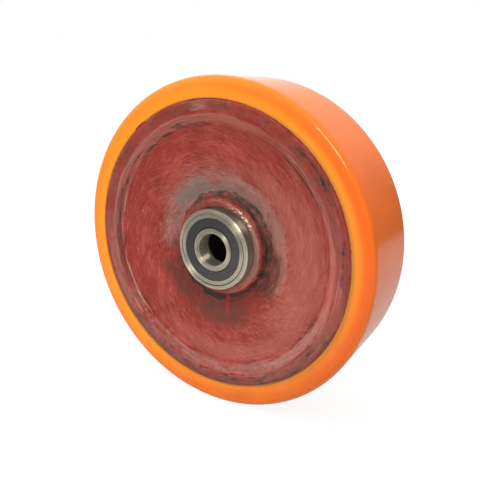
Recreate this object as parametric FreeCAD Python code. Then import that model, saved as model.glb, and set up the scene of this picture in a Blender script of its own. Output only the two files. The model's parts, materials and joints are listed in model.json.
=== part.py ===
"""Cast-cored polyurethane wheel on two sealed ball bearings.

Millimetres. The origin is the wheel's centre, the wheel turns about +Y and +Z is up.
Every turned piece is an outline in the (radius, y) half plane, swept once around the Y axis.
"""
import FreeCAD
import Part
import math
import os

# Tyre: a polyurethane band cast on to the rim of the centre
WHEEL_DIAMETER = 250.0
TREAD_WIDTH = 70.0
TREAD_THICKNESS = 16.0
TYRE_CORNER_RADIUS = 6.0
SIDE_SLOPE_WIDTH = 5.0

# Centre: one turned casting with a rim, a dished web and a hub
RIM_RECESS = 1.3
RIM_LAND_WIDTH = 10.0
RIM_LAND_EDGE_RADIUS = 4.0
RIM_SLOPE_WIDTH = 6.0
RIM_SLOPE_DEPTH = 6.0
RIM_FILLET_RADIUS = 6.0
DISH_THICKNESS = 46.0
DISH_BEND_RADIUS = 60.0
FUNNEL_WIDTH = 21.5
WEB_THICKNESS = 28.0
WEB_FILLET_RADIUS = 4.0
HUB_WALL = 6.5
HUB_DRAFT = 2.5
HUB_NOSE_RADIUS = 4.0
SEAT_MOUTH_BEVEL = 0.8
SHOULDER_HEIGHT = 4.0

# Bearings: single-row deep-groove ball bearings with a rubber seal on both sides
BEARING_BORE = 25.0
BEARING_DIAMETER = 62.0
BEARING_WIDTH = 17.0
BEARING_BEVEL = 1.1
BEARING_RECESS = 2.5
BEARING_STANDOUT = 8.5
BALL_COUNT = 7
BALL_DIAMETER = 11.5
BALL_CLEARANCE = 0.12
RACE_ROOM = 0.25
RACE_DEPTH = 2.3

# Outer ring's end: a fine turned groove, a slightly lower land and the lip that holds the seal
FACE_LAND_WIDTH = 2.9
FACE_GROOVE_WIDTH = 0.9
FACE_GROOVE_DEPTH = 0.8
INNER_LAND_DROP = 0.25
SEAL_LIP_HEIGHT = 0.9
SEAL_GROOVE_DEPTH = 1.5

# Inner ring's end: a step down to the track that the seal's lip runs on
SEAL_TRACK_DEPTH = 1.8
TRACK_EDGE_BEVEL = 0.3

# Seals
SEAL_DROP = 0.55
SEAL_CAGE_GAP = 0.25
SEAL_TRACK_GAP = 0.2
SEAL_LIP_TAPER = 0.9

# Cages: two pressed steel ribbons riveted together between the balls
CAGE_SHEET = 0.6
CAGE_WIDTH = 4.2
POCKET_CLEARANCE = 0.15
RIVET_DIAMETER = 1.2
RIVET_HEAD_DIAMETER = 2.2
RIVET_HEAD_HEIGHT = 0.5
RIVET_HEAD_BEVEL = 0.25

# Distance tube that the axle nut clamps between the two inner rings
TUBE_BORE_CLEARANCE = 0.25
TUBE_WALL = 3.25

# Radii and half widths that the pieces share
tyre_radius = WHEEL_DIAMETER / 2
tread_half = TREAD_WIDTH / 2
rim_radius = tyre_radius - TREAD_THICKNESS
rim_half = tread_half - RIM_RECESS
seat_radius = BEARING_DIAMETER / 2
bore_radius = BEARING_BORE / 2
bearing_half = BEARING_WIDTH / 2
bearing_face = tread_half - BEARING_RECESS
bearing_centre = bearing_face - bearing_half
seat_floor = bearing_face - BEARING_WIDTH
hub_half = bearing_face - BEARING_STANDOUT
hub_radius = seat_radius + HUB_WALL
pitch_radius = (bore_radius + seat_radius) / 2
ball_radius = BALL_DIAMETER / 2
outer_race_bottom = pitch_radius + ball_radius + BALL_CLEARANCE
inner_race_bottom = pitch_radius - ball_radius - BALL_CLEARANCE
outer_shoulder = outer_race_bottom - RACE_DEPTH
inner_shoulder = inner_race_bottom + RACE_DEPTH
race_radius = ball_radius + RACE_ROOM
race_half = math.sqrt(race_radius ** 2 - (race_radius - RACE_DEPTH) ** 2)
pocket_inside = ball_radius + POCKET_CLEARANCE
pocket_outside = pocket_inside + CAGE_SHEET
seal_back = pocket_outside + SEAL_CAGE_GAP
seal_face = bearing_half - SEAL_DROP
seal_step = (seal_back + seal_face) / 2
seal_mouth = outer_shoulder - SEAL_LIP_HEIGHT
seal_groove = seal_mouth + SEAL_GROOVE_DEPTH
seal_track = inner_shoulder - SEAL_TRACK_DEPTH
track_floor = seal_back - SEAL_TRACK_GAP

AXIS = FreeCAD.Vector(0, 1, 0)
CENTRE = FreeCAD.Vector(0, 0, 0)
SHARP, ROUND, BEVEL, VIA = "sharp", "round", "bevel", "via"
EDGE_ROOM = 0.98
TINY = 1e-6


def corner(radius, y, kind=SHARP, size=0.0):
    """One corner of an outline. A VIA point is the top of an arc between its two neighbours."""
    return (FreeCAD.Vector(radius, y, 0), kind, size)


def mirrored(upper):
    """The corners of the +Y half followed by the same corners on the -Y half, as one closed outline."""
    lower = [corner(p.x, -p.y, kind, size) for p, kind, size in reversed(upper)]
    return upper + lower


def corner_reach(before, point, after, kind, size):
    """How far along its two sides a corner's rounding or bevel starts, and half the corner's angle."""
    half_angle = (before - point).getAngle(after - point) / 2
    if kind == ROUND:
        return size / math.tan(half_angle), half_angle
    if kind == BEVEL:
        return size, half_angle
    return 0.0, half_angle


def outline(corners):
    """A closed wire of straight sides and arcs. A rounding too large for its sides is made to fit them."""
    count = len(corners)
    points = [c[0] for c in corners]
    reach, half_angle = [], []
    for i, (point, kind, size) in enumerate(corners):
        length, angle = corner_reach(points[i - 1], point, points[(i + 1) % count], kind, size)
        reach.append(length)
        half_angle.append(angle)
    fitted = list(reach)
    for i in range(count):
        after = (i + 1) % count
        room = EDGE_ROOM * points[i].distanceToPoint(points[after])
        wanted = reach[i] + reach[after]
        if wanted > room:
            fitted[i] = min(fitted[i], reach[i] * room / wanted)
            fitted[after] = min(fitted[after], reach[after] * room / wanted)

    starts, ends, edges = [], [], []
    for i, (point, kind, _) in enumerate(corners):
        towards = (points[i - 1] - point).normalize()
        onwards = (points[(i + 1) % count] - point).normalize()
        start = point + towards * fitted[i]
        end = point + onwards * fitted[i]
        starts.append(start)
        ends.append(end)
        if kind == BEVEL:
            edges.append(Part.LineSegment(start, end).toShape())
        if kind == ROUND:
            inward = (towards + onwards).normalize()
            radius = fitted[i] * math.tan(half_angle[i])
            middle = point + inward * (radius / math.sin(half_angle[i]) - radius)
            edges.append(Part.Arc(start, middle, end).toShape())
    for i in range(count):
        after = (i + 1) % count
        if corners[i][1] == VIA:
            continue
        if corners[after][1] == VIA:
            far = (i + 2) % count
            edges.append(Part.Arc(ends[i], points[after], starts[far]).toShape())
        elif ends[i].distanceToPoint(starts[after]) > TINY:
            edges.append(Part.LineSegment(ends[i], starts[after]).toShape())
    return Part.Wire(Part.__sortEdges__(edges))


def turned(corners):
    """The solid that an outline sweeps in one turn about the wheel's axis."""
    return Part.Face(outline(corners)).revolve(CENTRE, AXIS, 360)


def ring(inside, outside, low, high):
    """A plain ring about the wheel's axis."""
    return turned([corner(inside, low), corner(outside, low), corner(outside, high), corner(inside, high)])


def on_pitch_circle(step):
    """A point on the balls' pitch circle, counted in ball spacings from +X."""
    angle = 2 * math.pi * step / BALL_COUNT
    return FreeCAD.Vector(pitch_radius * math.cos(angle), 0, pitch_radius * math.sin(angle))


def make_tyre():
    upper = [
        corner(rim_radius, rim_half),
        corner(rim_radius + SIDE_SLOPE_WIDTH, tread_half),
        corner(tyre_radius, tread_half, ROUND, TYRE_CORNER_RADIUS),
    ]
    return turned(mirrored(upper))


def make_wheel_centre():
    land_radius = rim_radius - RIM_LAND_WIDTH
    slope_radius = land_radius - RIM_SLOPE_WIDTH
    slope_half = rim_half - RIM_SLOPE_DEPTH
    hub_base = hub_radius + HUB_DRAFT
    upper = [
        corner(rim_radius, rim_half),
        corner(land_radius, rim_half, ROUND, RIM_LAND_EDGE_RADIUS),
        corner(slope_radius, slope_half, ROUND, RIM_FILLET_RADIUS),
        corner(hub_base + FUNNEL_WIDTH, DISH_THICKNESS / 2, ROUND, DISH_BEND_RADIUS),
        corner(hub_base, WEB_THICKNESS / 2, ROUND, WEB_FILLET_RADIUS),
        corner(hub_radius, hub_half, ROUND, HUB_NOSE_RADIUS),
        corner(seat_radius, hub_half, BEVEL, SEAT_MOUTH_BEVEL),
        corner(seat_radius, seat_floor),
        corner(seat_radius - SHOULDER_HEIGHT, seat_floor),
    ]
    return turned(mirrored(upper))


def make_outer_ring():
    groove_start = seat_radius - FACE_LAND_WIDTH
    groove_end = groove_start - FACE_GROOVE_WIDTH
    land = bearing_half - INNER_LAND_DROP
    upper = [
        corner(seat_radius, bearing_half, BEVEL, BEARING_BEVEL),
        corner(groove_start, bearing_half),
        corner((groove_start + groove_end) / 2, bearing_half - FACE_GROOVE_DEPTH),
        corner(groove_end, land),
        corner(seal_mouth, land),
        corner(seal_mouth, seal_step),
        corner(seal_groove, seal_step),
        corner(seal_groove, seal_back),
        corner(outer_shoulder, seal_back),
        corner(outer_shoulder, race_half),
    ]
    return turned(with_race(upper, outer_race_bottom))


def make_inner_ring():
    upper = [
        corner(bore_radius, bearing_half, BEVEL, BEARING_BEVEL),
        corner(seal_track, bearing_half, BEVEL, TRACK_EDGE_BEVEL),
        corner(seal_track, track_floor),
        corner(inner_shoulder, track_floor),
        corner(inner_shoulder, race_half),
    ]
    return turned(with_race(upper, inner_race_bottom))


def with_race(upper, race_bottom):
    """A ring's outline with the arc of its ball race between the two halves."""
    lower = mirrored(upper)[len(upper):]
    return upper + [corner(race_bottom, 0, VIA)] + lower


def make_seal(side):
    """A moulded seal, held in the outer ring's groove, with its lip just clear of the inner ring."""
    lip = seal_track + SEAL_TRACK_GAP
    return turned([
        corner(lip, side * seal_back),
        corner(lip, side * seal_step),
        corner(lip + SEAL_LIP_TAPER, side * seal_face),
        corner(seal_mouth, side * seal_face),
        corner(seal_mouth, side * seal_step),
        corner(seal_groove, side * seal_step),
        corner(seal_groove, side * seal_back),
    ])


def make_cage_half(side):
    """A pressed ribbon: a flat ring that bulges over one side of every ball, with holes for the rivets."""
    inside = pitch_radius - CAGE_WIDTH / 2
    outside = pitch_radius + CAGE_WIDTH / 2
    band = ring(inside, outside, 0, pocket_outside)
    ribbon = ring(inside, outside, 0, CAGE_SHEET)
    bulges, hollows, holes = [], [], []
    for i in range(BALL_COUNT):
        bulges.append(Part.makeSphere(pocket_outside, on_pitch_circle(i), AXIS).common(band))
        hollows.append(Part.makeSphere(pocket_inside, on_pitch_circle(i), AXIS))
        hole_start = on_pitch_circle(i + 0.5) - AXIS * CAGE_SHEET
        holes.append(Part.makeCylinder(RIVET_DIAMETER / 2, 3 * CAGE_SHEET, hole_start, AXIS))
    half = ribbon.multiFuse(bulges).cut(hollows + holes).Solids[0]
    return half if side > 0 else half.mirror(CENTRE, AXIS)


def make_cage_rivets():
    head_top = CAGE_SHEET + RIVET_HEAD_HEIGHT
    upper = [
        corner(0, head_top),
        corner(RIVET_HEAD_DIAMETER / 2, head_top, BEVEL, RIVET_HEAD_BEVEL),
        corner(RIVET_HEAD_DIAMETER / 2, CAGE_SHEET),
        corner(RIVET_DIAMETER / 2, CAGE_SHEET),
    ]
    rivet = turned(mirrored(upper))
    return Part.makeCompound([rivet.translated(on_pitch_circle(i + 0.5)) for i in range(BALL_COUNT)])


def make_bearing_spacer():
    bore = bore_radius + TUBE_BORE_CLEARANCE
    return ring(bore, bore + TUBE_WALL, -seat_floor, seat_floor)


def make_bearing(name, y):
    """The pieces of one bearing, centred at y on the axis, keyed by node name."""
    pieces = {
        f"outer_ring_{name}": make_outer_ring(),
        f"inner_ring_{name}": make_inner_ring(),
        f"seal_outboard_{name}": make_seal(math.copysign(1, y)),
        f"seal_inboard_{name}": make_seal(-math.copysign(1, y)),
        f"cage_outboard_{name}": make_cage_half(math.copysign(1, y)),
        f"cage_inboard_{name}": make_cage_half(-math.copysign(1, y)),
        f"cage_rivets_{name}": make_cage_rivets(),
    }
    for i in range(BALL_COUNT):
        pieces[f"ball_{name}_{i + 1}"] = Part.makeSphere(ball_radius, on_pitch_circle(i))
    return {node: piece.translated(AXIS * y) for node, piece in pieces.items()}


nodes = {
    "tyre": make_tyre(),
    "wheel_centre": make_wheel_centre(),
    "bearing_spacer": make_bearing_spacer(),
}
nodes.update(make_bearing("front", -bearing_centre))
nodes.update(make_bearing("rear", bearing_centre))

os.makedirs("parts", exist_ok=True)
for node, shape in nodes.items():
    shape.exportStep(f"parts/{node}.step")
print(len(nodes), "pieces written")
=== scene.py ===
# %% [markdown]
# # A polyurethane wheel, dressed for its photograph
# The CAD model gives every solid its true size. This lesson adds what a solid can't show: an orange
# polyurethane tyre with a soft gloss, a cast centre painted red by hand with a brush, and bright ground
# bearing rings. Everything stays in the CAD model's own frame, in metres, with the axle along Y and the
# photographed side facing -Y.

# %% Load the frame
import json
import math

import bpy
import numpy as np
from mathutils import Matrix, Vector


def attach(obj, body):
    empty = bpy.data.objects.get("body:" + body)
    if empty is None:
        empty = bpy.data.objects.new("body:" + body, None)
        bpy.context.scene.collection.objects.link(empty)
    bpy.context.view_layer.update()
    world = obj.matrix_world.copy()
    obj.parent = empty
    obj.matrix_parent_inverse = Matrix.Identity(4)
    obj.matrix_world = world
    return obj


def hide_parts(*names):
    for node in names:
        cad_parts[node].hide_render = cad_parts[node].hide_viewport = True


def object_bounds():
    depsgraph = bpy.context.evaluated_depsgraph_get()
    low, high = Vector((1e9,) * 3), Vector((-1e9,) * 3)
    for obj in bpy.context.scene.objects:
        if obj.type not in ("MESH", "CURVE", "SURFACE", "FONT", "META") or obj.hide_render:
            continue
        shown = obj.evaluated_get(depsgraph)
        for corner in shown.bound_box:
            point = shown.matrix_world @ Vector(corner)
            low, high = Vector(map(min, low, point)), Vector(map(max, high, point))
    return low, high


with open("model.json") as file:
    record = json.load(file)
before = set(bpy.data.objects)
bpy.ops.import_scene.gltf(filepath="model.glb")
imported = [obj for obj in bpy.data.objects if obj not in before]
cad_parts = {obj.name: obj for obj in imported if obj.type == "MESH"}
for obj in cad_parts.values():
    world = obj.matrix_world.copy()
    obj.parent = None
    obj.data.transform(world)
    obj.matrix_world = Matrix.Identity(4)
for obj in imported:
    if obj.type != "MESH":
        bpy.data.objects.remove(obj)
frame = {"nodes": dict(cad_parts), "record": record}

cad_low, cad_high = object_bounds()
MM = 0.001

# %% [markdown]
# ## Camera
# A camera could be placed by eye, but a wheel gives a surer way: its round edges turn into ellipses, and
# only one direction and distance gives them all at once. The values below come from such a fit. The
# camera stands to the right of the axle and a little above it, close enough for the near side to look
# larger. It is moved sideways rather than shifted, so that the other views stay centred.

# %% Place the camera
AZIMUTH = math.radians(32.24)
ELEVATION = math.radians(15.69)
CAMERA_DISTANCE = 0.41192
OFF_RIGHT, OFF_DOWN = -0.00915, 0.00054
FOCAL_PIXELS, IMAGE_PIXELS = 516.94, 480
SENSOR_WIDTH = 36.0
NEAREST_SEEN = 0.01

back = Vector((math.sin(AZIMUTH) * math.cos(ELEVATION),
               -math.cos(AZIMUTH) * math.cos(ELEVATION),
               math.sin(ELEVATION)))
right = Vector((math.cos(AZIMUTH), math.sin(AZIMUTH), 0))
up = back.cross(right)
camera = bpy.data.objects.new("camera", bpy.data.cameras.new("camera"))
camera.data.sensor_width = SENSOR_WIDTH
camera.data.lens = SENSOR_WIDTH * FOCAL_PIXELS / IMAGE_PIXELS
camera.data.clip_start = NEAREST_SEEN
camera.location = CAMERA_DISTANCE * (back - OFF_RIGHT * right + OFF_DOWN * up)
camera.rotation_euler = Matrix((right, up, back)).transposed().to_euler()
bpy.context.collection.objects.link(camera)
bpy.context.scene.camera = camera
print("lens", round(camera.data.lens, 2), "mm, camera at", [round(c, 4) for c in camera.location])

# %% [markdown]
# ## Colours and nodes
# Materials and Geometry Nodes are both trees of nodes. They could be wired by hand in the node editor,
# but a script can be read, changed and run again. Three small helpers do the wiring: one turns a colour
# into light, one fills an input, and one adds a node.

# %% Colours and nodes


def srgb(red, green, blue):
    """A colour as a picture holds it, 0 to 255, turned into the linear light that shaders use."""
    shares = [value / 255 for value in (red, green, blue)]
    linear = [s / 12.92 if s <= 0.04045 else ((s + 0.055) / 1.055) ** 2.4 for s in shares]
    return (*linear, 1.0)


def plug(tree, value, socket):
    """Fills an input, with a link if the value comes from a node."""
    value = getattr(value, "socket", value)
    if isinstance(value, bpy.types.NodeSocket):
        tree.links.new(value, socket)
    else:
        socket.default_value = value


def add(tree, kind, settings=None, **inputs):
    """Adds a node. Inputs are filled by name, with spaces written as underscores."""
    made = tree.nodes.new(kind)
    for name, value in (settings or {}).items():
        setattr(made, name, value)
    for name, value in inputs.items():
        plug(tree, value, made.inputs[name.replace("_", " ")])
    return made


print("a middle grey, 128 of 255, sends back", round(srgb(128, 128, 128)[0], 3), "of the light")

# %% [markdown]
# ## Writing node trees as sums
# Each Math node could be added and linked by itself, but long formulas are hard to read that way. A small
# class lets us write them as arithmetic: each sum or product adds one Math node and returns its output.
# The same class serves the shaders and the geometry.

# %% Sums of nodes


class Field:
    """A number that a tree works out at every point."""

    def __init__(self, tree, socket):
        self.tree, self.socket = tree, socket

    def math(self, operation, *others):
        """Adds a Math node, with this number as its first input."""
        made = add(self.tree, "ShaderNodeMath", {"operation": operation})
        for value, socket in zip((self, *others), made.inputs):
            plug(self.tree, value, socket)
        return Field(self.tree, made.outputs[0])

    def __add__(self, other):
        return self.math("ADD", other)

    def __sub__(self, other):
        return self.math("SUBTRACT", other)

    def __mul__(self, other):
        return self.math("MULTIPLY", other)

    def __truediv__(self, other):
        return self.math("DIVIDE", other)

    def __rsub__(self, other):
        return self * -1.0 + other

    __radd__, __rmul__ = __add__, __mul__

    def most(self, other):
        """The larger of two numbers."""
        return self.math("MAXIMUM", other)

    def size(self):
        """The number without its sign."""
        return self.math("ABSOLUTE")

    def smooth(self, low, high):
        """0 below low, 1 above high, with a soft step between them."""
        made = add(self.tree, "ShaderNodeMapRange", {"interpolation_type": "SMOOTHSTEP"},
                   Value=self, From_Min=low, From_Max=high)
        return Field(self.tree, made.outputs[0])

    def centred(self):
        """Noise, which lies around 0.5, moved to lie around 0."""
        return self - 0.5


print("a Field can do:", [name for name in vars(Field) if not name.startswith("__")])

# %% [markdown]
# ## Places and noise on a turned piece
# Wear and brush marks follow a wheel round its axle. They could be painted on an image, but an image has
# seams and only one sharpness, so noise is used, drawn out along the way that the brush or the grinding
# wheel went. For that a place is split into its radius, its height along the axle and its direction
# around it.

# %% Places and noise


def vector(tree, x, y, z):
    """Three numbers as one place."""
    return add(tree, "ShaderNodeCombineXYZ", X=x, Y=y, Z=z).outputs[0]


def noise(tree, place, scale=1.0, detail=3.0, roughness=0.55):
    """Soft noise around 0.5 at a place."""
    made = add(tree, "ShaderNodeTexNoise", Vector=place, Scale=scale, Detail=detail, Roughness=roughness)
    return Field(tree, made.outputs[0])


def polar(tree, place):
    """The parts of a place on a turned piece: its height along the axle, its radius and its turn."""
    split = add(tree, "ShaderNodeSeparateXYZ", Vector=place)
    x, y, z = (Field(tree, out) for out in split.outputs)
    radius = (x * x + z * z).math("SQRT")
    return {"place": place, "y": y, "radius": radius, "cos": x / radius, "sin": z / radius}


def streaks(tree, at, around, across, lean=0.0, **settings):
    """Noise drawn out along the brush. Lean is how far a stroke turns, in radians a metre of radius."""
    turn = at["radius"] * lean
    cos, sin = turn.math("COSINE"), turn.math("SINE")
    turned_cos = at["cos"] * cos + at["sin"] * sin
    turned_sin = at["sin"] * cos - at["cos"] * sin
    place = vector(tree, turned_cos * around, turned_sin * around, at["radius"] * across)
    return noise(tree, place, **settings)


print("a stroke with a lean of 28 turns", round(math.degrees(28 * 10 * MM)), "degrees in 10 mm of radius")

# %% [markdown]
# ## The studio
# The photograph is a product shot: white all round, with soft light. White could come from more lamps,
# but they would bleach the wheel. Here the camera, and what is mirrored, see a whiter world than the one
# that lights the wheel.

# %% White surroundings
WHITE = (1.0, 1.0, 1.0, 1.0)
AMBIENT = 0.48
MIRRORED_SKY = 0.33


def seen_directly(tree, mirrored):
    """1 for rays from the camera, a share for mirrored and refracted ones, 0 for those that only light."""
    path = add(tree, "ShaderNodeLightPath")
    bounced = Field(tree, path.outputs["Is Glossy Ray"]).most(path.outputs["Is Transmission Ray"])
    return (bounced * mirrored).most(path.outputs["Is Camera Ray"])


world = bpy.data.worlds.new("white_studio")
bpy.context.scene.world = world
world.use_nodes = True
sky = world.node_tree.nodes["Background"]
sky.inputs["Color"].default_value = WHITE
sky_strength = seen_directly(world.node_tree, MIRRORED_SKY) * (1 - AMBIENT) + AMBIENT
plug(world.node_tree, sky_strength, sky.inputs["Strength"])
print("world:", len(world.node_tree.nodes), "nodes")

# %% [markdown]
# The wheel stands on a plain pale sheet. To the camera the sheet is lifted to white, and it still darkens
# where the wheel shades it. The shadow stays close by and fades further out, where a real sheet would
# sweep up behind the wheel. A modelled sweep would do too, but would show its bend in the other views.

# %% Floor
FLOOR_HALF = 6.0
FLOOR_GLOW = 1.14
FLOOR_SHADE = 0.2
SHADE_START, SHADE_END = 0.25, 0.9
MIRRORED_FLOOR = 0.25
PAPER_GREY = srgb(192, 192, 192)
CORNER_SIGNS = ((-1, -1), (1, -1), (1, 1), (-1, 1))


def object_place(tree):
    """Places in the piece's own frame, which stay on it when it turns."""
    return add(tree, "ShaderNodeTexCoord").outputs["Object"]


def stage_sheet(name, corners, finish):
    """A flat four-cornered piece of the studio, which doesn't belong to the wheel."""
    mesh = bpy.data.meshes.new(name)
    mesh.from_pydata(corners, [], [(0, 1, 2, 3)])
    mesh.materials.append(finish)
    made = bpy.data.objects.new(name, mesh)
    bpy.context.collection.objects.link(made)
    return made


floor_paper = bpy.data.materials.new("floor_paper")
floor_paper.use_nodes = True
paper = floor_paper.node_tree
paper.nodes.clear()
matt = add(paper, "ShaderNodeBsdfDiffuse", Color=PAPER_GREY)
glow = add(paper, "ShaderNodeEmission", Color=WHITE, Strength=FLOOR_GLOW)
lifted = add(paper, "ShaderNodeMixShader")
on_sheet = polar(paper, object_place(paper))
far = (on_sheet["radius"] + on_sheet["y"].size()).smooth(SHADE_START, SHADE_END)
shown_white = seen_directly(paper, MIRRORED_FLOOR) * (far * FLOOR_SHADE + (1 - FLOOR_SHADE))
for value, socket in zip((shown_white, matt.outputs[0], glow.outputs[0]), lifted.inputs):
    plug(paper, value, socket)
add(paper, "ShaderNodeOutputMaterial", Surface=lifted.outputs[0])
stage_sheet("floor", [(x * FLOOR_HALF, y * FLOOR_HALF, cad_low.z) for x, y in CORNER_SIGNS], floor_paper)
print("floor at", round(cad_low.z, 4))

# %% [markdown]
# Three lamps light it: a narrow, slightly warm strip over the camera's right shoulder, a large soft one
# on the upper left and one overhead. The strip's mirror image draws the thin bright line on the tyre's
# corner and the streaks on the bearing. One sun would be simpler, but its shadow would be hard. The two
# large ones are so soft that no mirror image of them should show, so they are kept out of glossy rays.

# %% Lamps
LEVEL = (1.0, 0.0, 0.0)
NEUTRAL, WARM = (1.0, 1.0, 1.0), (1.0, 0.94, 0.8)


def lamp(name, direction, distance, size, power, along=LEVEL, tint=NEUTRAL, mirrored=False):
    """A soft lamp that looks at the wheel from a direction. The first size lies along a given direction."""
    light = bpy.data.lights.new(name, "AREA")
    light.shape = "RECTANGLE"
    light.size, light.size_y = size
    light.energy = power
    light.color = tint
    made = bpy.data.objects.new(name, light)
    towards = Vector(direction).normalized()
    across = towards.cross(Vector(along)).normalized()
    made.location = towards * distance
    made.rotation_euler = Matrix((across.cross(towards), across, towards)).transposed().to_euler()
    made.visible_camera = False
    made.visible_glossy = mirrored
    bpy.context.collection.objects.link(made)


lamp("shoulder_strip", direction=(0.56, -0.40, 0.72), distance=1.1, size=(0.44, 0.10), power=4.8,
     along=(0.8, -0.10, -0.59), tint=WARM, mirrored=True)
lamp("left_softbox", direction=(-0.6, -0.65, 0.75), distance=0.65, size=(0.5, 0.5), power=3.8)
lamp("overhead_softbox", direction=(0.1, 0.1, 1.0), distance=1.3, size=(1.0, 1.0), power=9.0)

# %% [markdown]
# Two cards stand behind the wheel, as a photographer's flag and reflector do. The camera doesn't see
# them. The dark one on the right gives the glossy tread something dark to mirror above the bright floor
# and keeps some light off it. The white one on the left whitens the top of the tread. A picture of a
# studio could be mirrored instead, but two cards are easier to move. Each thins out towards one edge, so
# that the mirrored edge is soft.

# %% Cards
CARD_LOW, CARD_HIGH = -0.11, 0.5
CARD_GREY, CARD_BLACK = srgb(120, 116, 110), srgb(20, 20, 20)
CARD_GLOW = 1.1
WHITE_LOW, WHITE_HIGH = 0.1, 1.3
WHITE_FULL, WHITE_GONE = -0.75, -0.1


def new_finish(name):
    """A material with one Principled shader, and the tree to build its inputs in."""
    finish = bpy.data.materials.new(name)
    finish.use_nodes = True
    tree = finish.node_tree
    return finish, tree, tree.nodes["Principled BSDF"].inputs


def card(name, left, right, low, high, finish):
    """An upright sheet that only the wheel sees, between two places on the floor plan."""
    made = stage_sheet(name, [(*left, low), (*right, low), (*right, high), (*left, high)], finish)
    made.visible_camera = False
    made.visible_shadow = False
    return made


def place_on_card(tree, axis):
    """How far a point of a card lies along an axis."""
    split = add(tree, "ShaderNodeSeparateXYZ", Vector=object_place(tree))
    return Field(tree, split.outputs[axis])


dark_paper, dark_tree, dark = new_finish("dark_card")
dark["Base Color"].default_value = CARD_GREY
plug(dark_tree, 1.0 - place_on_card(dark_tree, "Z").smooth(0.0, CARD_HIGH), dark["Alpha"])
card("dark_card", (0.05, 1.0), (1.05, 0.1), CARD_LOW, CARD_HIGH, dark_paper)

white_paper, white_tree, white = new_finish("white_card")
white["Base Color"].default_value = CARD_BLACK
white["Emission Color"].default_value = WHITE
white["Emission Strength"].default_value = CARD_GLOW
plug(white_tree, 1.0 - place_on_card(white_tree, "X").smooth(WHITE_FULL, WHITE_GONE), white["Alpha"])
white_card = card("white_card", (-1.3, 1.0), (0.1, 1.0), WHITE_LOW, WHITE_HIGH, white_paper)
white_card.visible_diffuse = False

# %% [markdown]
# ## A lathe in Geometry Nodes
# The centre and the tyre are both turned: one outline, swept once around the axle. The Spin tool or a
# Screw modifier could do that too. A node tree follows the same rule, and can go on to raise the paint,
# so one tree serves both pieces. Its inputs are the sizes that a maker would set.

# %% Name the lathe's inputs
LATHE_INPUTS = {
    "Section": "NodeSocketObject",
    "Steps Around": "NodeSocketInt",
    "Round Steps": "NodeSocketInt",
    "Lump Height": "NodeSocketFloat",
    "Lumps Per Metre": "NodeSocketFloat",
    "Ridge Height": "NodeSocketFloat",
    "Hub Lump Height": "NodeSocketFloat",
    "Hub Lumps Per Metre": "NodeSocketFloat",
    "Hub Radius": "NodeSocketFloat",
    "Run Lines": "NodeSocketObject",
    "Run Height": "NodeSocketFloat",
    "Run Width": "NodeSocketFloat",
    "Finish": "NodeSocketMaterial",
}
lathe = bpy.data.node_groups.new("lathe", "GeometryNodeTree")
for label, kind in LATHE_INPUTS.items():
    lathe.interface.new_socket(label, in_out="INPUT", socket_type=kind)
lathe.interface.new_socket("Geometry", in_out="OUTPUT", socket_type="NodeSocketGeometry")
lathe_sizes = lathe.nodes.new("NodeGroupInput").outputs
print("lathe inputs:", list(LATHE_INPUTS))

# %% [markdown]
# The outline is a small mesh of points joined by edges, and each point carries two numbers: the radius
# its corner is rounded to, and how finely the side after it is divided. The tree rounds the corners,
# measures each side and cuts it into steps. Every point could be listed instead, but then a changed
# radius would mean a new list.

# %% Round and divide the outline


def section_points(tree, inputs):
    """The outline as a closed curve, rounded and divided as its points say."""
    source = add(tree, "GeometryNodeObjectInfo", Object=inputs["Section"])
    line = add(tree, "GeometryNodeMeshToCurve", Mesh=source.outputs["Geometry"])
    rounding = add(tree, "GeometryNodeInputNamedAttribute", {"data_type": "FLOAT"}, Name="rounding")
    rounded = add(tree, "GeometryNodeFilletCurve", {"mode": "POLY"}, Curve=line.outputs[0],
                  Count=inputs["Round Steps"], Radius=rounding.outputs[0], Limit_Radius=True)
    here = add(tree, "GeometryNodeInputPosition").outputs[0]
    index = add(tree, "GeometryNodeInputIndex").outputs[0]
    following = add(tree, "GeometryNodeOffsetPointInCurve", Point_Index=index, Offset=1)
    there = add(tree, "GeometryNodeFieldAtIndex", {"data_type": "FLOAT_VECTOR", "domain": "POINT"},
                Index=following.outputs["Point Index"], Value=here)
    gap = add(tree, "ShaderNodeVectorMath", {"operation": "DISTANCE"})
    plug(tree, here, gap.inputs[0])
    plug(tree, there.outputs[0], gap.inputs[1])
    step = add(tree, "GeometryNodeInputNamedAttribute", {"data_type": "FLOAT"}, Name="step")
    cuts = (Field(tree, gap.outputs["Value"]) / step.outputs[0]).math("FLOOR")
    return add(tree, "GeometryNodeSubdivideCurve", Curve=rounded.outputs[0], Cuts=cuts).outputs[0]


lathe_line = section_points(lathe, lathe_sizes)
print("lathe with its outline:", len(lathe.nodes), "nodes")

# %% [markdown]
# To sweep it, the tree makes a flat grid and bends it, so that each column of points is the outline at
# one angle. A curve swept along a circle would be shorter to write, but the grid lets us choose every
# point's place. The last column meets the first, and the two are welded.

# %% Sweep the outline
WELD = 1e-6


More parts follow.
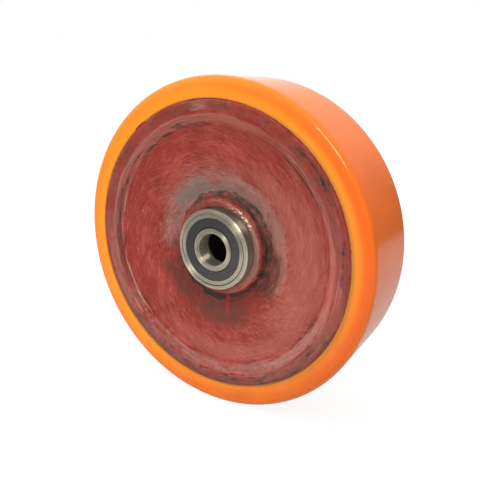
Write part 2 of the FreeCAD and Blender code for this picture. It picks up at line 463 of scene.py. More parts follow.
def swept(tree, line, steps):
    """A grid bent so that every column of its points is the outline, turned to one angle about Y."""
    size = add(tree, "GeometryNodeAttributeDomainSize", {"component": "CURVE"}, Geometry=line)
    count = Field(tree, size.outputs["Point Count"])
    rows = count + 1
    grid = add(tree, "GeometryNodeMeshGrid", Vertices_X=Field(tree, steps) + 1, Vertices_Y=rows)
    index = Field(tree, add(tree, "GeometryNodeInputIndex").outputs[0])
    column = (index / rows).math("FLOOR")
    row = (index - column * rows).math("MODULO", count)
    here = add(tree, "GeometryNodeInputPosition").outputs[0]
    point = add(tree, "GeometryNodeSampleIndex", {"data_type": "FLOAT_VECTOR", "domain": "POINT"},
                Geometry=line, Value=here, Index=row)
    split = add(tree, "ShaderNodeSeparateXYZ", Vector=point.outputs[0])
    angle = column * (2 * math.pi) / steps
    radius = Field(tree, split.outputs["X"])
    bent = vector(tree, radius * angle.math("COSINE"), split.outputs["Y"], radius * angle.math("SINE"))
    placed = add(tree, "GeometryNodeSetPosition", Geometry=grid.outputs[0], Position=bent)
    return add(tree, "GeometryNodeMergeByDistance", Geometry=placed.outputs[0], Distance=WELD).outputs[0]


lathe_body = swept(lathe, lathe_line, lathe_sizes["Steps Around"])
print("lathe with its sweep:", len(lathe.nodes), "nodes")

# %% [markdown]
# Brush paint is never flat. Bump in the material could fake that, but the raised paint should also be
# there in the mesh, so the tree lifts the skin along its normal: broad lumps, ridges drawn around the
# axle by the brush, finer lumps on the hub, and runs that follow lines drawn on the front. Only faces
# that look along the axle are raised; the seats that other pieces fit are left true.

# %% Raise the paint
HUB_EDGE = 2.0 * MM
RUN_STEP = 1.0 * MM
FACING_START, FACING_FULL = 0.08, 0.3


def paint_height(tree, inputs):
    """How far the paint stands up at a point, and how much of that is a run."""
    here = add(tree, "GeometryNodeInputPosition").outputs[0]
    at = polar(tree, here)
    lumps = noise(tree, here, scale=inputs["Lumps Per Metre"], detail=2.0).centred()
    ridges = streaks(tree, at, around=9.0, across=700.0, detail=2.0).centred()
    hub_radius = Field(tree, inputs["Hub Radius"])
    on_hub = 1.0 - at["radius"].smooth(hub_radius - HUB_EDGE, hub_radius)
    hub_lumps = noise(tree, here, scale=inputs["Hub Lumps Per Metre"], detail=2.0).centred()
    lines = add(tree, "GeometryNodeObjectInfo", Object=inputs["Run Lines"])
    split = add(tree, "ShaderNodeSeparateXYZ", Vector=here)
    flat = vector(tree, split.outputs["X"], 0.0, split.outputs["Z"])
    near = add(tree, "GeometryNodeProximity", {"target_element": "EDGES"},
               Geometry=lines.outputs["Geometry"], Sample_Position=flat)
    apart = Field(tree, near.outputs["Distance"]) / inputs["Run Width"]
    front = (at["y"] * -1.0).smooth(0.0, RUN_STEP)
    run = (1.0 - apart).most(0.0) * front
    normal = add(tree, "GeometryNodeInputNormal").outputs[0]
    facing = Field(tree, add(tree, "ShaderNodeSeparateXYZ", Vector=normal).outputs["Y"]).size()
    height = (lumps * inputs["Lump Height"] + ridges * inputs["Ridge Height"]
              + hub_lumps * on_hub * inputs["Hub Lump Height"]
              + run.smooth(0.0, 1.0) * inputs["Run Height"])
    return height * facing.smooth(FACING_START, FACING_FULL), run.smooth(0.0, 0.5)


lathe_height, lathe_run = paint_height(lathe, lathe_sizes)
print("lathe with its paint:", len(lathe.nodes), "nodes")

# %% [markdown]
# Last, the tree stores where a run lies, lifts the skin, smooths its shading and gives it its finish. A
# run's colour could be marked by hand later, but stored here it follows the raised paint.

# %% Finish the lathe
run_marked = add(lathe, "GeometryNodeStoreNamedAttribute", {"data_type": "FLOAT", "domain": "POINT"},
                 Geometry=lathe_body, Name="run", Value=lathe_run)
skin_normal = add(lathe, "GeometryNodeInputNormal").outputs[0]
lift = add(lathe, "ShaderNodeVectorMath", {"operation": "SCALE"}, Vector=skin_normal, Scale=lathe_height)
raised = add(lathe, "GeometryNodeSetPosition", Geometry=run_marked.outputs[0], Offset=lift.outputs[0])
soft = add(lathe, "GeometryNodeSetShadeSmooth", Geometry=raised.outputs[0])
whole = add(lathe, "GeometryNodeRealizeInstances", Geometry=soft.outputs[0])
finished = add(lathe, "GeometryNodeSetMaterial", Geometry=whole.outputs[0], Material=lathe_sizes["Finish"])
plug(lathe, finished.outputs[0], lathe.nodes.new("NodeGroupOutput").inputs[0])
LATHE_SOCKETS = {s.name: s.identifier for s in lathe.interface.items_tree if s.in_out == "INPUT"}
print("lathe tree:", len(lathe.nodes), "nodes,", len(LATHE_SOCKETS), "inputs")

# %% [markdown]
# Running the lathe takes an outline in millimetres, lets the tree work on it, and keeps the result as a
# plain mesh. The modifier could stay on the piece instead. A mesh's volume comes out negative when its
# faces look inwards, so the sign tells whether to turn them.

# %% Run the lathe
CUBIC_CM = 1e6


def line_object(name, points, closed, **numbers):
    """Points joined by edges, each with its named numbers, as an object that only a node tree reads."""
    mesh = bpy.data.meshes.new(name)
    count = len(points)
    edges = [(i, (i + 1) % count) for i in range(count if closed else count - 1)]
    mesh.from_pydata(points, edges, [])
    for label, values in numbers.items():
        mesh.attributes.new(label, "FLOAT", "POINT").data.foreach_set("value", values)
    return bpy.data.objects.new(name, mesh)


def both_sides(upper, closing_step):
    """An outline's +Y half and its mirror image. A point's step is that of the side that follows it."""
    steps = [closing_step] + [point[3] for point in upper[:-1]]
    lower = [(radius, -y, rounding, step) for (radius, y, rounding, _), step in zip(upper, steps)]
    return upper + lower[::-1]


def places(mesh):
    """Every point of a mesh as rows of x, y, z."""
    flat = np.zeros(len(mesh.vertices) * 3, np.float32)
    mesh.vertices.foreach_get("co", flat)
    return flat.reshape(-1, 3).astype(float)


def signed_volume(mesh):
    """The volume inside a closed mesh, negative when its faces look inwards."""
    mesh.calc_loop_triangles()
    corners = np.zeros(len(mesh.loop_triangles) * 3, np.int32)
    mesh.loop_triangles.foreach_get("vertices", corners)
    a, b, c = places(mesh)[corners.reshape(-1, 3)].transpose(1, 0, 2)
    return np.einsum("ij,ij->i", a, np.cross(b, c)).sum() / 6


def turn_on_lathe(name, outline, finish, **settings):
    """Runs the lathe on an outline given in millimetres, and keeps the result as a plain mesh."""
    corners = [(radius * MM, y * MM, 0.0) for radius, y, _, _ in outline]
    section = line_object(name + "_section", corners, True, rounding=[point[2] * MM for point in outline],
                          step=[point[3] * MM for point in outline])
    piece = bpy.data.objects.new(name, bpy.data.meshes.new(name))
    modifier = piece.modifiers.new("lathe", "NODES")
    modifier.node_group = lathe
    for label, value in {"Section": section, "Finish": finish, **settings}.items():
        modifier[LATHE_SOCKETS[label]] = value
    bpy.context.collection.objects.link(piece)
    graph = bpy.context.evaluated_depsgraph_get()
    mesh = bpy.data.meshes.new_from_object(piece.evaluated_get(graph), preserve_all_data_layers=True,
                                           depsgraph=graph)
    piece.modifiers.clear()
    piece.data = mesh
    mesh.name = name
    volume = signed_volume(mesh)
    if volume < 0:
        mesh.flip_normals()
    print(name, len(mesh.vertices), "points,", len(mesh.loop_triangles), "triangles,",
          round(abs(volume) * CUBIC_CM, 1), "cm3")
    return piece


print("lathe's helpers:", [f.__name__ for f in (line_object, both_sides, places, turn_on_lathe)])

# %% [markdown]
# ## Brushed red paint
# The casting was painted with a nearly dry brush. Its marks are streaks of noise: fine ones that lean
# across the web and stand steeper on its low side, blotches between them, others drawn around the rim and
# hub, and bristle lines. They could be a painted image, but noise keeps its sharpness close up and has no
# seam.

# %% Brush marks
RIM_RADIUS = 109.0
SLOPE_START, SLOPE_FULL = 89.5 * MM, 92.5 * MM
LEANING_SHARE = 0.6


def brush_marks(tree, at):
    """Every mark that the brush leaves, each a noise around 0.5."""
    over_face = {**at, "radius": at["radius"] + at["y"].size()}
    marks = {
        "broad": noise(tree, at["place"], scale=45.0, detail=2.0),
        "patchy": noise(tree, at["place"], scale=260.0, detail=4.0, roughness=0.6),
        "crust": noise(tree, at["place"], scale=420.0, detail=3.0),
        "swirl": streaks(tree, at, around=38.0, across=230.0, lean=28.0, detail=2.2),
        "steep": streaks(tree, at, around=38.0, across=180.0, lean=13.0, detail=2.4),
        "blotch": streaks(tree, at, around=11.0, across=130.0, lean=24.0, detail=3.0),
        "teeth": streaks(tree, at, around=22.0, across=80.0, lean=28.0, detail=2.0),
        "along": streaks(tree, over_face, around=6.0, across=300.0, detail=4.0, roughness=0.6),
        "lines": streaks(tree, over_face, around=5.0, across=900.0, detail=2.0),
    }
    low_side = at["sin"] * -0.8 + at["cos"] * 0.5 + marks["broad"].centred() * 2.0
    low_side = low_side.smooth(0.2, 0.8)
    leaning = marks["swirl"] * (1.0 - low_side) + marks["steep"] * low_side
    web = leaning * LEANING_SHARE + marks["blotch"] * (1 - LEANING_SHARE)
    on_rim = at["radius"].smooth(SLOPE_START, SLOPE_FULL)
    marks["stroke"] = web * (1.0 - on_rim) + marks["along"] * on_rim
    return marks


print("brush marks start to run around the rim at", SLOPE_START / MM, "mm")

# %% [markdown]
# Thick paint is a clear red. Thin paint lets the dark metal through, and in places the paint turns a dull
# mauve or grey. Some dark kinds are painted shade, on the side of the hub and as a shadow under the
# bearing, the pale kind is partly painted highlights, and the last one is painted glints on the hub's
# lumps. Each such kind of patch has a colour, and the brush marks break its edge up, as a dry brush
# would. A table says which marks do that and how strongly, where the edge lies, and how much of the
# colour shows. Twelve formulas could say the same, but a table is easier to compare. A tight kind
# leaves no specks beyond its patches.
# A tight kind leaves no specks outside its patches.

# %% Kinds of paint
RED_DEEP, RED_LIGHT, RED_PURE = srgb(124, 35, 25), srgb(164, 63, 51), srgb(140, 40, 28)
PINK_FILM, ROSE, MAUVE = srgb(168, 92, 82), srgb(198, 106, 92), srgb(163, 122, 112)
GREY, PAINTED_GLINT = srgb(135, 120, 110), srgb(232, 212, 184)
BROWN, WALL_SHADE, SOOT_AND_SHADOW = srgb(92, 52, 44), srgb(88, 60, 50), srgb(40, 33, 29)
BRIGHT_RED, PALE_AND_HIGHLIGHT = srgb(164, 43, 33), srgb(190, 146, 130)
RESIN, RESIN_EDGE = srgb(250, 147, 30), srgb(176, 118, 40)
PAINT_KINDS = {
    "pure": {"marks": {"stroke": 1.6}, "edge": (0.1, 0.9), "share": 0.7},
    "pink": {"marks": {"lines": 0.9, "stroke": 0.5}, "edge": (0.0, 1.0), "share": 0.75},
    "rose": {"marks": {"lines": 1.2, "along": 1.0}, "edge": (0.0, 1.0), "share": 0.8},
    "dull": {"marks": {"lines": 0.9, "stroke": 1.3, "patchy": 1.0}, "edge": (-0.05, 1.05), "share": 0.88},
    "grey": {"marks": {"along": 1.2, "patchy": 1.6}, "edge": (0.4, 0.75), "share": 0.85, "tight": True},
    "brown": {"marks": {"along": 1.6, "stroke": 1.2, "patchy": 0.6}, "edge": (0.1, 1.0), "share": 0.9,
              "tight": True},
    "wall_shade": {"marks": {"lines": 3.4, "along": 0.8, "patchy": 0.3}, "edge": (0.25, 0.85), "share": 0.92,
             "tight": True},
    "soot_and_shadow": {"marks": {"along": 2.6, "patchy": 1.0}, "edge": (0.5, 0.95), "share": 0.9, "tight": True},
    "dashes": {"marks": {"teeth": -2.4, "patchy": 0.8}, "edge": (0.4, 0.9), "share": 0.72, "tight": True},
    "pale": {"marks": {"lines": 3.0}, "edge": (0.6, 0.95), "share": 0.7},
    "bead": {"marks": {"lines": 2.0, "along": 1.4, "patchy": 0.4}, "edge": (0.4, 0.9), "share": 0.9},
    "gloss_and_glint": {"marks": {"crust": 5.0}, "edge": (0.8, 1.3), "share": 1.0},
}
SPECK_FREE = (0.0, 0.2)


def mark(tree, name):
    """A number stored on the piece's own points."""
    return Field(tree, add(tree, "ShaderNodeAttribute", {"attribute_name": name}).outputs["Fac"])


def patch_shown(tree, kind, marks):
    """Where a kind of patch shows: its mark on the piece, with the edge broken up by the brush."""
    looks = PAINT_KINDS[kind]
    here = mark(tree, kind)
    broken = here
    for name, strength in looks["marks"].items():
        broken = broken + marks[name].centred() * strength
    shown = broken.smooth(*looks["edge"])
    return shown * here.smooth(*SPECK_FREE) if looks.get("tight") else shown


print(len(PAINT_KINDS), "kinds of paint:", list(PAINT_KINDS))

# %% [markdown]
# The kinds are laid over one another: the red first, thin films and worn metal on it, then dark metal,
# grime and painted shade, pale marks that are partly painted highlights, and the thick bright beads.
# Beside the tyre a little of its resin has crept over the rim, with a dark edge, and last come the
# painted glints on the hub's lumps. Several shaders could be mixed, but one shader with a mixed colour
# is easier to follow.

# %% Mix the paint
PAINT_ROUGHNESS, PAINT_GLOSS = 0.4, 0.32
PAINT_DEPTH = 0.12 * MM
COVER_THIN, COVER_THICK = 0.26, 0.76
GRIME_START, GRIME_FULL, GRIME_SHARE = 0.47, 0.57, 0.8
JOINT_RADIUS = RIM_RADIUS * MM
RESIN_CREEP, RESIN_RAGGED = 1.6 * MM, 0.6 * MM


def blend(tree, share, first, second):
    """The first colour where share is 0, the second where it is 1."""
    made = add(tree, "ShaderNodeMix", {"data_type": "RGBA"})
    for value, socket in ((share, 0), (first, 6), (second, 7)):
        plug(tree, value, made.inputs[socket])
    return made.outputs[2]


def relief(tree, inputs, height, depth):
    """Raises the surface in the shading by a height of 0 to 1, which stands for a depth in metres."""
    bump = add(tree, "ShaderNodeBump", Height=height, Distance=depth)
    plug(tree, bump.outputs[0], inputs["Normal"])


def brushed_paint():
    """The red paint of the centre, with everything that wore or ran on it, and its painted shade and
    glints.
    """
    paint, tree, inputs = new_finish("brushed_red_paint")
    at = polar(tree, object_place(tree))
    marks = brush_marks(tree, at)
    shown = {kind: patch_shown(tree, kind, marks) for kind in PAINT_KINDS}
    shown["bead"] = shown["bead"].most(mark(tree, "run"))
    share = {kind: shown[kind] * PAINT_KINDS[kind]["share"] for kind in PAINT_KINDS}

    cover = marks["stroke"] + marks["broad"].centred() * 0.6 + marks["patchy"].centred() * 0.35
    colour = blend(tree, cover.smooth(COVER_THIN, COVER_THICK), RED_DEEP, RED_LIGHT)
    for kind, over in (("pure", RED_PURE), ("pink", PINK_FILM), ("rose", ROSE)):
        colour = blend(tree, share[kind], colour, over)
    metal = blend(tree, shown["grey"], MAUVE, GREY)
    colour = blend(tree, share["dull"].most(share["grey"]), colour, metal)
    # Dark metal under thin paint; below the hub it is darker towards the bottom, with a painted shadow
    # under the bearing.
    colour = blend(tree, share["brown"], colour, BROWN)
    # Painted shade: the side of the hub is darkened, with dark streaks in it.
    grime = (marks["along"] * 0.4 + marks["lines"] * 0.6).smooth(GRIME_START, GRIME_FULL) * GRIME_SHARE
    colour = blend(tree, share["wall_shade"], colour, blend(tree, grime, WALL_SHADE, SOOT_AND_SHADOW))
    # Dark streaks on the rim and slope, and painted shade: on the side of the hub and a shadow under the
    # bearing.
    colour = blend(tree, share["soot_and_shadow"].most(share["dashes"]), colour, SOOT_AND_SHADOW)
    # Pale marks: partly rubbed paint, partly thin painted highlight lines on the slope.
    colour = blend(tree, share["pale"], colour, PALE_AND_HIGHLIGHT)
    colour = blend(tree, share["bead"], colour, BRIGHT_RED)
    crept = mark(tree, "resin") * RESIN_CREEP + marks["along"].centred() * RESIN_RAGGED
    past_joint = at["radius"] + crept - JOINT_RADIUS
    colour = blend(tree, past_joint.smooth(0.0, 0.3 * MM), colour, RESIN_EDGE)
    colour = blend(tree, past_joint.smooth(0.4 * MM, 1.4 * MM), colour, RESIN)
    # Painted highlight: near-white glints on the glossy lumps of the hub's front.
    gloss_and_glint = mark(tree, "gloss_and_glint")
    colour = blend(tree, share["gloss_and_glint"] * gloss_and_glint, colour, PAINTED_GLINT)

    plug(tree, colour, inputs["Base Color"])
    roughness = PAINT_ROUGHNESS + shown["dull"] * 0.05 - shown["bead"] * 0.12 - gloss_and_glint * 0.25
    plug(tree, roughness + marks["patchy"].centred() * 0.2, inputs["Roughness"])
    height = marks["stroke"] * 0.25 + marks["lines"] * 0.3 + marks["patchy"] * 0.35
    relief(tree, inputs, height + gloss_and_glint * marks["crust"] * 20.0, PAINT_DEPTH)
    inputs["Specular IOR Level"].default_value = PAINT_GLOSS
    return paint


red_paint = brushed_paint()
print("paint:", len(red_paint.node_tree.nodes), "nodes")

# %% [markdown]
# ## The painted centre
# The outline is the casting's own: rim, slope, dished web, hub and bearing seat. The CAD solid could
# carry the paint itself, but its few large faces have no points to lift. So the centre is turned again,
# with its front and back divided finely, and the hidden seats are left plain. One run of paint hangs
# below the hub.

# %% Turn the centre
FINE, PLAIN = 1.2, 60.0
HUB_RADIUS = 37.5
CENTRE_HALF = [
    (RIM_RADIUS, 33.7, 0.0, FINE),
    (99.0, 33.7, 4.0, FINE),
    (93.0, 27.7, 6.0, FINE),
    (61.5, 23.0, 60.0, FINE),
    (40.0, 14.0, 4.0, FINE),
    (HUB_RADIUS, 24.0, 4.0, FINE),
    (31.0, 24.0, 0.8, PLAIN),
    (31.0, 15.5, 0.0, PLAIN),
    (27.0, 15.5, 0.0, PLAIN),
]
PAINT_RUN = [(2.0, -40.0), (3.2, -46.5), (4.6, -52.4)]

run_line = line_object("paint_run", [(x * MM, 0.0, z * MM) for x, z in PAINT_RUN], False)
painted_centre = turn_on_lathe(
    "painted_centre", both_sides(CENTRE_HALF, PLAIN), red_paint,
    **{"Steps Around": 420, "Round Steps": 6, "Lump Height": 0.5 * MM, "Lumps Per Metre": 120.0,
       "Ridge Height": 0.3 * MM, "Hub Lump Height": 1.0 * MM, "Hub Lumps Per Metre": 300.0,
       "Hub Radius": HUB_RADIUS * MM, "Run Lines": run_line, "Run Height": 0.7 * MM, "Run Width": 2.0 * MM})

# %% [markdown]
# Now the places of the patches, which are listed here and stored on the mesh. Each patch is an angle
# around the axle and half its spread in degrees, an inner and an outer radius in millimetres, and a
# strength. They could be drawn with the weight brush, but a list can be read and changed. The far side
# gets the same hand with the patches turned on, so that the two sides don't repeat.

# %% Mark where the paint is thin, dull or thick
PATCHES = {
    "pure": [(165, 60, 78, 92, 1.0), (60, 30, 78, 91, 0.6), (15, 25, 76, 90, 0.5), (295, 18, 44, 58, 0.9)],
    "pink": [(20, 40, 93.5, 99, 0.8), (95, 55, 93.5, 98.5, 0.75), (335, 35, 92, 98.5, 0.7),
             (305, 65, 77, 91, 0.75), (350, 45, 60, 88, 0.8), (35, 30, 58, 74, 0.7),
             (100, 60, 56, 68, 0.45), (0, 30, 100, 106, 0.6), (325, 35, 100, 107, 0.6),
             (312, 34, 33, 41, 0.9), (160, 60, 96.6, 100, 0.6)],
    "rose": [(105, 62, 92.8, 99.2, 0.8), (0, 25, 93, 99, 0.75), (0, 16, 99, 103.5, 0.5),
             (338, 44, 31.5, 36, 1.0), (112, 34, 31.5, 35, 0.25), (90, 14, 47, 57, 0.45)],
    "dull": [(85, 75, 42.4, 47.5, 1.0), (10, 40, 44, 58, 0.75), (65, 38, 43, 57, 0.8),
             (125, 32, 43, 58, 0.8), (168, 20, 43, 57, 0.65), (95, 4, 102, 108, 0.75),
             (225, 50, 99.5, 107, 0.5), (300, 50, 100, 107, 0.4), (160, 70, 96.6, 100, 0.3),
             (310, 34, 92.6, 99, 0.6), (262, 40, 93, 98.6, 0.42), (225, 25, 94, 98, 0.35),
             (20, 62, 30, 35.8, 1.1)],
    "grey": [(85, 78, 42.2, 46, 1.0), (125, 26, 45, 55, 0.85), (165, 15, 44, 50, 0.6),
             (95, 4, 102, 108, 0.6), (30, 70, 30, 35, 0.3), (278, 40, 93, 98.5, 0.4)],
    # Painted shade on the side of the hub.
    "wall_shade": [(42, 84, 37, 43, 1.05), (125, 50, 36.4, 42, 0.95)],
    # Dark metal under thin paint; below the hub it is darker towards the bottom, with a painted shadow
    # under the bearing.
    "brown": [(222, 30, 43, 63, 0.65), (268, 28, 44, 64, 0.9), (275, 42, 92.6, 99, 0.32),
              (338, 24, 42, 54, 0.75), (195, 20, 40, 52, 0.5), (180, 34, 94.5, 98, 0.6),
              (120, 80, 100, 108.5, 0.55), (30, 45, 99.5, 108.5, 0.55), (8, 20, 98, 108, 0.6),
              (38, 26, 92.6, 98.6, 0.55), (270, 80, 101, 109, 0.6), (255, 60, 37, 43, 1.1),
              (165, 65, 94.8, 96.6, 0.4), (115, 60, 31, 36, 0.6)],
    # Dark streaks on the rim and slope, and painted shade: on the side of the hub and a shadow under the
    # bearing.
    "soot_and_shadow": [(33, 30, 100.5, 109.5, 0.5), (12, 18, 100, 109, 0.48), (36, 24, 93, 98.5, 0.38),
             (8, 10, 94, 99, 0.36), (125, 55, 99.6, 101.4, 0.45), (140, 60, 102, 108, 0.3),
             (275, 10, 98, 106, 0.5), (285, 45, 102, 109, 0.32), (60, 75, 39.5, 43, 0.5),
             (240, 45, 38, 46.5, 1.2), (165, 65, 95, 96.4, 0.55)],
    "dashes": [(110, 28, 91.6, 94.6, 0.8), (41, 15, 90.3, 92.4, 0.9), (170, 30, 91.5, 93.5, 0.5),
               (330, 22, 90.2, 92, 0.75), (215, 25, 92, 94.5, 0.5)],
    # Pale marks: partly rubbed paint, partly thin painted highlight lines on the slope.
    "pale": [(30, 32, 92, 99, 0.62), (2, 24, 100, 106, 0.25), (200, 45, 93.4, 94.8, 0.85),
             (220, 6, 97, 99.5, 0.7), (150, 60, 96, 99, 0.3), (320, 30, 93, 97, 0.35),
             (110, 70, 44, 56, 0.3)],
    "bead": [(40, 62, 36.6, 37.5, 0.8), (322, 40, 36.6, 37.6, 0.8), (125, 35, 36.2, 37, 0.5)],
    # The glossy lumps on the hub's front, which carry painted glints.
    "gloss_and_glint": [(47, 24, 32.4, 36.2, 1.0)],
    "resin": [(262, 50, 105, 112, 1.0)],
}
REAR_TURN = 137
SOFT_EDGE = 1.5


def patch_mask(points, patches, rear_turn):
    """How strongly each point of a turned piece lies in any of the patches."""
    x, y, z = points.T
    radius = np.hypot(x, z) / MM
    angle = np.degrees(np.arctan2(z, x)) + np.where(y > 0, rear_turn, 0)
    mask = np.zeros(len(points))
    for middle, spread, inner, outer, strength in patches:
        off_angle = np.abs((angle - middle + 180) % 360 - 180) / spread
        off_radius = np.abs(radius - (inner + outer) / 2) / ((outer - inner) / 2)
        reach = (off_angle ** 4 + off_radius ** 4) ** 0.25
        mask = np.maximum(mask, strength * np.clip(SOFT_EDGE - reach, 0, 1))
    return mask


def mark_patches(piece, kinds, rear_turn=REAR_TURN):
    """Stores each kind's mask on the piece, under the kind's name."""
    for label, patches in kinds.items():
        values = patch_mask(places(piece.data), patches, rear_turn)
        piece.data.attributes.new(label, "FLOAT", "POINT").data.foreach_set("value", values)
        print(piece.name, label, "patches:", len(patches), "mean", round(float(values.mean()), 3))


mark_patches(painted_centre, PATCHES)
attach(painted_centre, "wheel")
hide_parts("wheel_centre")

# %% [markdown]
# ## The polyurethane tyre
# Cast polyurethane is slightly clear, so light enters it and comes out again a little further on. Glass
# would be too clear and plain plastic too hard, so the shader mixes in some subsurface light. Beside the
# casting the band looks yellow, and it deepens to orange at its outer corner and on the tread. A darker
# line marks the joint, and in places the brush went over it, so a thin uneven edge of red lies on the
# tyre.

# %% Polyurethane
TYRE_ORANGE, TYRE_CORNER_SHADE, TYRE_DEEP = srgb(248, 122, 28), srgb(246, 101, 28), srgb(208, 90, 30)
JOINT_LINE, OVERPAINT = srgb(174, 112, 40), srgb(132, 46, 36)
YELLOW_END, ORANGE_START, CLOUD_DRIFT = 110.5 * MM, 123.5 * MM, 4.0 * MM
JOINT_WIDTH, JOINT_WIDER = 2.2 * MM, 2.6 * MM
EDGE_RAGGED, EDGE_FORWARD, EDGE_BACK = 2.4 * MM, 1.2 * MM, 2.0 * MM
TYRE_ROUGHNESS, TYRE_GLOSS = 0.15, 0.32
SKIN_DEPTH = 0.03 * MM
GLOW_SHARE, GLOW_COLOUR, GLOW_REACH = 0.25, (1.0, 0.4, 0.1), 4.0 * MM


def cast_polyurethane():
    """The tyre's finish, from the painted joint to the tread."""
    tyre_finish, tree, inputs = new_finish("cast_polyurethane")
    at = polar(tree, object_place(tree))
    cloud = noise(tree, at["place"], scale=28.0, detail=2.0)
    skin = noise(tree, at["place"], scale=900.0, detail=2.0)
    rough_edge = streaks(tree, at, around=60.0, across=0.0, detail=3.0).centred()
    outward = (at["radius"] + cloud.centred() * CLOUD_DRIFT).smooth(YELLOW_END, ORANGE_START)
    colour = blend(tree, outward, RESIN, TYRE_ORANGE)
    # Painted shade: the corner at the right is a deeper orange.
    colour = blend(tree, mark(tree, "corner_shade"), colour, TYRE_CORNER_SHADE)
    # Deeper orange towards the lower right, and a painted dark reflection on the right of the tread.
    darker = mark(tree, "deep").most(mark(tree, "dark_tread_reflection"))
    colour = blend(tree, darker * (cloud * 0.6 + 0.3), colour, TYRE_DEEP)
    past_joint = at["radius"] - JOINT_RADIUS
    crept = mark(tree, "crept")
    width = at["cos"].smooth(0.2, 0.9) * JOINT_WIDER + JOINT_WIDTH
    joint = 1.0 - (past_joint / width).smooth(0.0, 1.0)
    colour = blend(tree, joint * (0.95 - crept * 0.5), colour, JOINT_LINE)
    reach = rough_edge * EDGE_RAGGED + mark(tree, "overpaint") * EDGE_FORWARD - crept * EDGE_BACK
    painted = 1.0 - (past_joint - reach).smooth(-0.1 * MM, 0.3 * MM)
    colour = blend(tree, painted, colour, OVERPAINT)
    plug(tree, colour, inputs["Base Color"])
    plug(tree, TYRE_ROUGHNESS + cloud.centred() * 0.08 + skin.centred() * 0.08, inputs["Roughness"])
    relief(tree, inputs, skin, SKIN_DEPTH)
    inputs["Specular IOR Level"].default_value = TYRE_GLOSS
    inputs["Subsurface Weight"].default_value = GLOW_SHARE
    inputs["Subsurface Radius"].default_value = GLOW_COLOUR
    inputs["Subsurface Scale"].default_value = GLOW_REACH
    return tyre_finish


polyurethane = cast_polyurethane()
print("polyurethane:", len(polyurethane.node_tree.nodes), "nodes")

# %% [markdown]
# The tyre is turned on the same lathe, from three corners: the joint with the rim, the slight slope of
# the side and the rounded corner of the tread. Nothing is raised on it, because it comes smooth from its
# mould. Its patches say where the brush went over the joint, where resin crept on to the rim and where
# the orange is deeper towards the lower right. Two more are painted shade: a deeper orange on the corner
# at the right, and a painted dark reflection on the right of the tread.

# %% Turn the tyre
SIDE_STEP, TREAD_STEP = 1.5, 4.0
TYRE_HALF = [
    (RIM_RADIUS, 33.7, 0.0, SIDE_STEP),
    (114.0, 35.0, 30.0, SIDE_STEP),
    (125.0, 35.0, 6.0, TREAD_STEP),
]
TYRE_PATCHES = {
    "overpaint": [(126, 2.5, 107, 111, 1.8), (38, 25, 107, 111, 0.7), (90, 14, 107, 111, 0.4)],
    "crept": PATCHES["resin"],
    # Painted shade: a deeper orange on the corner at the right.
    "corner_shade": [(12, 55, 117, 123, 0.75)],
    "deep": [(300, 48, 108.5, 120.5, 0.95)],
}
# Painted dark reflection on the right of the tread.
TREAD_PATCHES = {"dark_tread_reflection": [(8, 36, 124, 126, 0.9)]}

tyre = turn_on_lathe("polyurethane_tyre", both_sides(TYRE_HALF, TREAD_STEP), polyurethane,
                     **{"Steps Around": 480, "Round Steps": 12})
mark_patches(tyre, TYRE_PATCHES)
mark_patches(tyre, TREAD_PATCHES, rear_turn=0)
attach(tyre, "wheel")
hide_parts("tyre")

# %% [markdown]
# ## Bearings
# The bearing's steel pieces have the right CAD shape already and only want a finish: fine rings left by
# the grinding wheel, and for the inner and outer rings a warm grey. Grinding marks could be modelled, but
# they are very fine, so the shader stretches its highlight across them instead. The rings are used: their
# edges are honed bright and there is grime in the groove. Shade is painted on as well: the groove is
# darker towards the lower right, the outer side has a painted dark reflection, one land and the bore have
# painted shade, and the bore's far end has a painted shadow. All the steel gets a painted sheen towards
# the lower right.

# %% Ground steel
GROOVE_RADIUS, GROOVE_DARK_HALF, GROOVE_CLEAR_HALF = 27.65 * MM, 0.2 * MM, 0.5 * MM
GROOVE_HALF, BEVEL_RADIUS, OUTSIDE_RADIUS = 0.45 * MM, 29.9 * MM, 30.94 * MM
LAND_INNER, LAND_OUTER = 23.5 * MM, 27.0 * MM
BORE_RADIUS, BORE_EDGE = 12.6 * MM, 0.2 * MM
FAR_BLACK, FAR_CLEAR = 19.0 * MM, 19.8 * MM
RING_GRIME_AND_SHADE, BORE_SHADOW = srgb(62, 52, 42), srgb(14, 13, 12)
RING_DEPTH = 0.02 * MM
QUARTER_TURN = 0.25


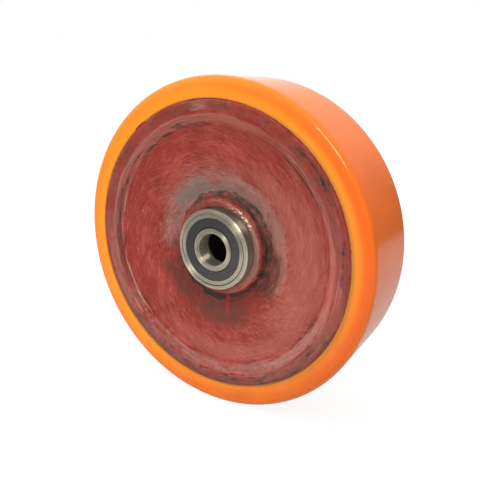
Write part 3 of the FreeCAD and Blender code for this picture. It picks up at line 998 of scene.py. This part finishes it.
def ring_use_and_shade(at):
    """Where a used ring has grime and painted shade, where it is honed bright, where its bore is, and its
    painted shadow at the bore's far end.
    """
    radius, cos, sin = at["radius"], at["cos"], at["sin"]
    from_groove = (radius - GROOVE_RADIUS).size()
    # Painted shade: the groove is darker towards the lower right.
    shaded_side = (cos * 0.77 - sin * 0.64).smooth(0.0, 0.6) * 0.7 + 0.25
    groove_grime_and_shade = (1.0 - from_groove.smooth(GROOVE_DARK_HALF, GROOVE_CLEAR_HALF)) * shaded_side
    # Painted dark reflection on the ring's outer side.
    outer_reflection = radius.smooth(OUTSIDE_RADIUS, OUTSIDE_RADIUS + 0.05 * MM) * 0.68
    # Painted shade on the upper right of the inner land.
    on_land = (radius.smooth(LAND_INNER, LAND_INNER + 0.5 * MM)
               * (1.0 - radius.smooth(LAND_OUTER, LAND_OUTER + 0.3 * MM)))
    land_shade = on_land * (cos * 0.71 + sin * 0.71).smooth(0.6, 1.0) * 0.4
    in_bore = 1.0 - radius.smooth(BORE_RADIUS, BORE_RADIUS + BORE_EDGE)
    # Painted shadow: the bore is black at its far end.
    far_shadow = in_bore * (1.0 - at["y"].size().smooth(FAR_BLACK, FAR_CLEAR))
    # Grime in the groove with painted shade, a painted dark reflection on the outer side, painted shade on
    # one land and a little in the bore.
    dirt_and_shade = groove_grime_and_shade.most(outer_reflection).most(land_shade).most(in_bore * 0.12)
    groove_sides = 1.0 - from_groove.smooth(GROOVE_HALF, GROOVE_HALF + 0.1 * MM)
    honed = groove_sides.most(radius.smooth(BEVEL_RADIUS, BEVEL_RADIUS + 0.1 * MM))
    return {"dirt_and_shade": dirt_and_shade, "honed": honed, "in_bore": in_bore, "far_shadow": far_shadow}


def ground_steel(name, tint, roughness, lines, used=False):
    """Steel with a number of grinding lines in each metre and a painted sheen, worn and with painted shade
    if it is used.
    """
    finish, tree, inputs = new_finish(name)
    at = polar(tree, object_place(tree))
    ringed = vector(tree, at["cos"] * 1.5, at["sin"] * 1.5, (at["radius"] + at["y"]) * lines)
    rings = noise(tree, ringed, detail=2.0)
    smears = noise(tree, at["place"], scale=140.0, detail=3.0)
    dull = (*(0.6 * part for part in tint[:3]), 1.0)
    # Painted sheen: the steel is a little lighter towards the lower right.
    painted_sheen = (at["cos"] - at["sin"]) * 0.08
    colour = blend(tree, (rings * 0.7 + smears * 0.3 + painted_sheen).smooth(0.3, 0.65), dull, tint)
    rough = roughness + rings.centred() * 0.12 + smears.centred() * 0.12
    if used:
        used_and_shaded = ring_use_and_shade(at)
        # Grime and painted shade darken the ring, and the bore's far end is painted black as a shadow.
        colour = blend(tree, used_and_shaded["dirt_and_shade"], colour, RING_GRIME_AND_SHADE)
        colour = blend(tree, used_and_shaded["far_shadow"] * 0.95, colour, BORE_SHADOW)
        rough = rough + used_and_shaded["dirt_and_shade"] * 0.15 - used_and_shaded["in_bore"] * 0.22 - used_and_shaded["honed"] * 0.16
    plug(tree, colour, inputs["Base Color"])
    plug(tree, rough, inputs["Roughness"])
    relief(tree, inputs, rings, RING_DEPTH)
    around_axle = add(tree, "ShaderNodeTangent", {"direction_type": "RADIAL", "axis": "Y"})
    plug(tree, around_axle.outputs[0], inputs["Tangent"])
    inputs["Anisotropic"].default_value = 1.0
    inputs["Anisotropic Rotation"].default_value = QUARTER_TURN
    inputs["Metallic"].default_value = 1.0
    return finish


STEELS = {
    "bearing_steel": ground_steel("ground_ring_steel", srgb(231, 222, 201), 0.56, lines=1100.0, used=True),
    "cage_steel": ground_steel("pressed_cage_steel", srgb(168, 162, 150), 0.35, lines=900.0),
    "ball_steel": ground_steel("polished_ball_steel", srgb(228, 228, 228), 0.08, lines=300.0),
    "dark_steel": ground_steel("blackened_tube_steel", srgb(34, 31, 28), 0.6, lines=700.0),
}
print("steels:", {slot: len(steel.node_tree.nodes) for slot, steel in STEELS.items()}, "nodes")

# %% [markdown]
# The seals are moulded rubber, dull, with faint rings from the mould and a little dust. Plain dark grey
# would look like a hole beside the steel, so the dust lightens it, and a painted sheen lightens it a little
# more towards the lower right.

# %% Seal rubber
RUBBER, DUST_AND_SHEEN = srgb(33, 33, 32), srgb(68, 67, 65)
RUBBER_ROUGHNESS = 0.42
DUST_DEPTH = 0.04 * MM


def moulded_rubber():
    """The rubber of the bearing's seals."""
    finish, tree, inputs = new_finish("seal_rubber")
    at = polar(tree, object_place(tree))
    dust = noise(tree, at["place"], scale=700.0, detail=4.0, roughness=0.7)
    ringed = streaks(tree, at, around=2.0, across=1500.0, detail=2.0)
    # Painted sheen: the rubber is a little lighter towards the lower right, on top of its dust.
    painted_sheen = (at["cos"] - at["sin"]) * 0.08
    dust_and_sheen = (dust * 0.6 + ringed * 0.4 + painted_sheen).smooth(0.4, 0.75)
    plug(tree, blend(tree, dust_and_sheen, RUBBER, DUST_AND_SHEEN), inputs["Base Color"])
    plug(tree, RUBBER_ROUGHNESS + dust.centred() * 0.3, inputs["Roughness"])
    relief(tree, inputs, dust, DUST_DEPTH)
    return finish


seal_rubber = moulded_rubber()
print("rubber:", len(seal_rubber.node_tree.nodes), "nodes")

# %% [markdown]
# Each CAD node says in the record which finish it wants. It could be modelled again like the centre, but
# nothing is raised on it, so its shape stays and only its material changes.

# %% Finish the CAD nodes
FINISHES = {**STEELS, "seal_rubber": seal_rubber}
dressed = [part for part in frame["record"]["subparts"] if part["material_slot"] in FINISHES]
for part in dressed:
    slots = frame["nodes"][part["node"]].data.materials
    slots.clear()
    slots.append(FINISHES[part["material_slot"]])
print("CAD nodes finished:", len(dressed))

# %% [markdown]
# ## Colour view
# Colours are shown as the shaders give them, with the Standard view transform.

# %% Set the view transform
bpy.context.scene.view_settings.view_transform = "Standard"
